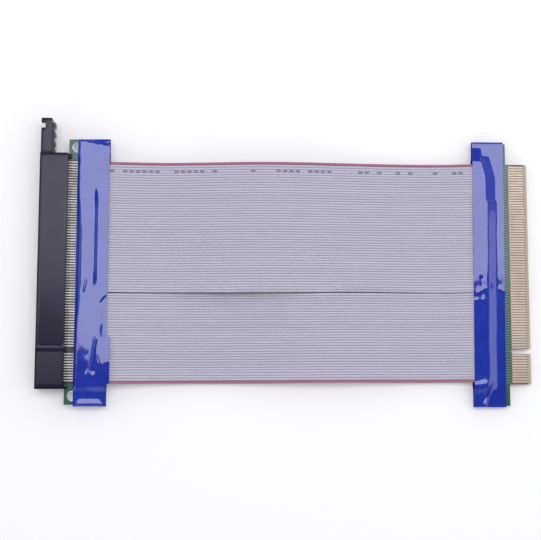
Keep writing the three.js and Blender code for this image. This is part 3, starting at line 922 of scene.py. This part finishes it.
def tape(name, span, half, board_z, surface, skew, seam, overlap, drift, slack, creases, seed):
    half += TAPE_FIT + (slack[0] + slack[1]) / 2
    offset_y = (slack[0] - slack[1]) / 2
    thick = BOARD / 2 + TAPE_FIT
    length = loop_length(half, thick)
    strip = length + overlap
    bpy.ops.object.select_all(action="DESELECT")
    bpy.ops.mesh.primitive_grid_add(x_subdivisions=TAPE_WIDE, y_subdivisions=TAPE_LONG, size=1)
    piece = ready(name)
    middle_x = (span[0] + span[1]) / 2
    for vertex in piece.data.vertices:
        x = middle_x + vertex.co.x * (span[1] - span[0])
        d = (vertex.co.y + 0.5) * strip
        (y, z), (out_y, out_z) = route_point(seam - overlap + half + d, half, thick)
        y += offset_y
        sheared = x + skew * y
        if out_z > 0.01:
            height = surface(sheared, y) + sum(crease_height(crease, sheared, y) for crease in creases)
        else:
            covered = 1 - ramp(abs(y), RIBBON_TOP + 0.5, RIBBON_TOP + 4)
            height = UNDER_LEVEL * covered * under_ribbon(x, span)
        wave = 0.06 * noise.noise(Vector((x * 0.13, y * 0.05, seed)))
        wave += 0.012 * noise.noise(Vector((x * 0.6, y * 0.3, seed + 5)))
        z += out_z * (height + wave)
        lap = (TAPE_FILM + 0.04) * ramp(d, length - LAP_RUN, length - 1)
        # The last of the film lies over its start, a little wider
        spread = drift * ramp(d, length - 1.5, length) * (vertex.co.x + 0.5)
        vertex.co = (sheared + spread, y + out_y * lap, board_z + z + out_z * lap)
    modify(piece, "SOLIDIFY", thickness=TAPE_FILM, offset=0)
    choose(piece, "FACE", lambda c: True)
    bpy.ops.mesh.normals_make_consistent(inside=False)
    done()
    smooth(piece, 50)
    return piece


# On the underside the film covers the lower wires and comes up to the board at the contacts
def under_ribbon(x, span):
    if span is SOCKET_TAPE_X:
        return ramp(x, span[0], span[0] + 1.8)
    return 1 - ramp(x, span[1] - 6, span[1] - 2)


# The whole cable

plastic = FINISHES["plastic"]
tin = FINISHES["tin"]
gold = FINISHES["gold"]
settle(housing_shell(), plastic, "housing_plastic", "slot_housing")
settle(straddle_pads(), plastic, "housing_plastic", "slot_housing")
settle(latch(), plastic, "housing_plastic", "slot_housing")
for side, word in ((1, "upper"), (-1, "lower")):
    settle(contact_row(lead(side), "leads_" + word), tin, "contact_tin", "slot_housing")
    settle(contact_row(solder_pad(side), "solder_pads_" + word), tin, "contact_tin", "slot_housing")
    settle(contact_row(spring(side), "springs_" + word), gold, "contact_gold", "slot_housing")
    settle(contact_row(finger(side), "fingers_" + word), gold, "contact_gold", "plug_board")

settle(socket_board(), FINISHES["laminate"], "board_laminate", "socket_board")
settle(hole_rims(), tin, "contact_tin", "socket_board")
board, bare_tab = plug_board()
settle(board, FINISHES["laminate"], "board_laminate", "plug_board")
settle(bare_tab, FINISHES["bare"], "bare_laminate", "plug_board")

for layer, word in ((1, "upper"), (-1, "lower")):
    wide_grey = ribbon_finish("wide_" + word, WIDE_WIRES - 1, 3 + layer, *GREY, layer > 0)
    narrow_grey = ribbon_finish("narrow_" + word, NARROW_WIRES - 1, 90 + layer, *GREY, False)
    wide_red = ribbon_finish("wide_edge_" + word, 1, 200 + layer, *RED, False)
    narrow_red = ribbon_finish("narrow_edge_" + word, 1, 210 + layer, *RED, False)
    narrow_top = RIBBON_TOP - WIDE_WIRES * WIRE_SPACING - RIBBON_SLIT
    wide_node, narrow_node = "ribbon_wide_" + word, "ribbon_narrow_" + word
    strands = [
        (
            "wide_strands_", 1, WIDE_WIRES - 1, RIBBON_TOP, WIDE_WAVE, wide_grey,
            "ribbon_insulation", wide_node,
        ),
        ("wide_edge_", 0, 1, RIBBON_TOP, WIDE_WAVE, wide_red, "ribbon_marker", wide_node),
        (
            "narrow_strands_", 0, NARROW_WIRES - 1, narrow_top, NARROW_WAVE, narrow_grey,
            "ribbon_insulation", narrow_node,
        ),
        (
            "narrow_edge_", NARROW_WIRES - 1, 1, narrow_top, NARROW_WAVE, narrow_red,
            "ribbon_marker", narrow_node,
        ),
    ]
    for stem, first, wires, top, wave, finish, slot, node in strands:
        settle(ribbon(stem + word, first, wires, top, layer, wave), finish, slot, node)

settle(
    tape(
        "socket_tape_film", SOCKET_TAPE_X, SOCKET_BOARD_HALF, SOCKET_Z, socket_surface,
        0.0, SOCKET_SEAM, SOCKET_OVERLAP, SOCKET_DRIFT, SOCKET_SLACK, SOCKET_CREASES, 1.0,
    ),
    FINISHES["tape"], "tape_film", "socket_tape",
)
settle(
    tape(
        "plug_tape_film", PLUG_TAPE_X, PLUG_BOARD_HALF, PLUG_Z, plug_surface,
        PLUG_TAPE_SKEW, PLUG_SEAM, PLUG_OVERLAP, PLUG_DRIFT, PLUG_SLACK, PLUG_CREASES, 4.0,
    ),
    FINISHES["tape"], "tape_film", "plug_tape",
)


# Floor, light and camera

def floor():
    bpy.ops.object.select_all(action="DESELECT")
    bpy.ops.mesh.primitive_plane_add(size=6)
    piece = ready("floor")
    finish = Finish("pale_floor", Roughness=0.9, Specular_IOR_Level=0.1)
    cloud = finish.noise(finish.coords(), 3.0, 2.0)
    finish.feed("Base Color", finish.blend(cloud, colour(0.93, 0.93, 0.95), colour(0.95, 0.95, 0.97)))
    # What looks at the floor, or is reflected or seen through, finds it white; the shadow stays
    path = finish.node("ShaderNodeLightPath").outputs
    seen = finish.math("MAXIMUM", path["Is Camera Ray"], path["Is Glossy Ray"])
    seen = finish.math("MAXIMUM", seen, path["Is Transmission Ray"])
    finish.shader.inputs["Emission Color"].default_value = colour(1, 1, 1)
    finish.feed("Emission Strength", finish.math("MULTIPLY", seen, FLOOR_LIFT))
    piece.data.materials.append(finish.material)


# A box of light that faces straight down
def softbox(name, place, turn, size, power):
    data = bpy.data.lights.new(name, "AREA")
    data.shape = "RECTANGLE"
    data.size, data.size_y = size
    data.energy = power
    lamp = bpy.data.objects.new(name, data)
    lamp.location = place
    lamp.rotation_euler = (0, 0, math.radians(turn))
    bpy.context.scene.collection.objects.link(lamp)


def camera():
    data = bpy.data.cameras.new("camera")
    data.sensor_fit = "HORIZONTAL"
    data.sensor_width = 36.0
    data.lens = CAMERA_LENS
    data.clip_start = 0.01
    eye = bpy.data.objects.new("camera", data)
    eye.location = CAMERA_PLACE
    eye.rotation_euler = [math.radians(angle) for angle in CAMERA_TURN]
    bpy.context.scene.collection.objects.link(eye)
    bpy.context.scene.camera = eye


floor()
softbox("key", (0.05, 0.212, LAMP_HEIGHT), 7.5, (1.0, 0.365), 3.4)
softbox("side", (0.83, -0.088, LAMP_HEIGHT), 0.0, (0.36, 0.544), 0.62)
camera()

bpy.context.scene.view_settings.view_transform = "Standard"


# A dim ceiling and pale walls: the light that the lamps don't give
def studio_world():
    world = bpy.data.worlds.new("studio")
    world.use_nodes = True
    tree = world.node_tree
    background = tree.nodes["Background"]
    direction = tree.nodes.new("ShaderNodeTexCoord")
    height = tree.nodes.new("ShaderNodeSeparateXYZ")
    fade = tree.nodes.new("ShaderNodeMapRange")
    fade.inputs[1].default_value = WALL_TOP
    fade.inputs[2].default_value = CEILING_EDGE
    fade.inputs[3].default_value = WALL_LIGHT
    fade.inputs[4].default_value = CEILING_LIGHT
    tree.links.new(direction.outputs["Generated"], height.inputs[0])
    tree.links.new(height.outputs[2], fade.inputs[0])
    tree.links.new(fade.outputs[0], background.inputs[1])
    background.inputs[0].default_value = (0.96, 0.96, 1.0, 1.0)
    bpy.context.scene.world = world


studio_world()
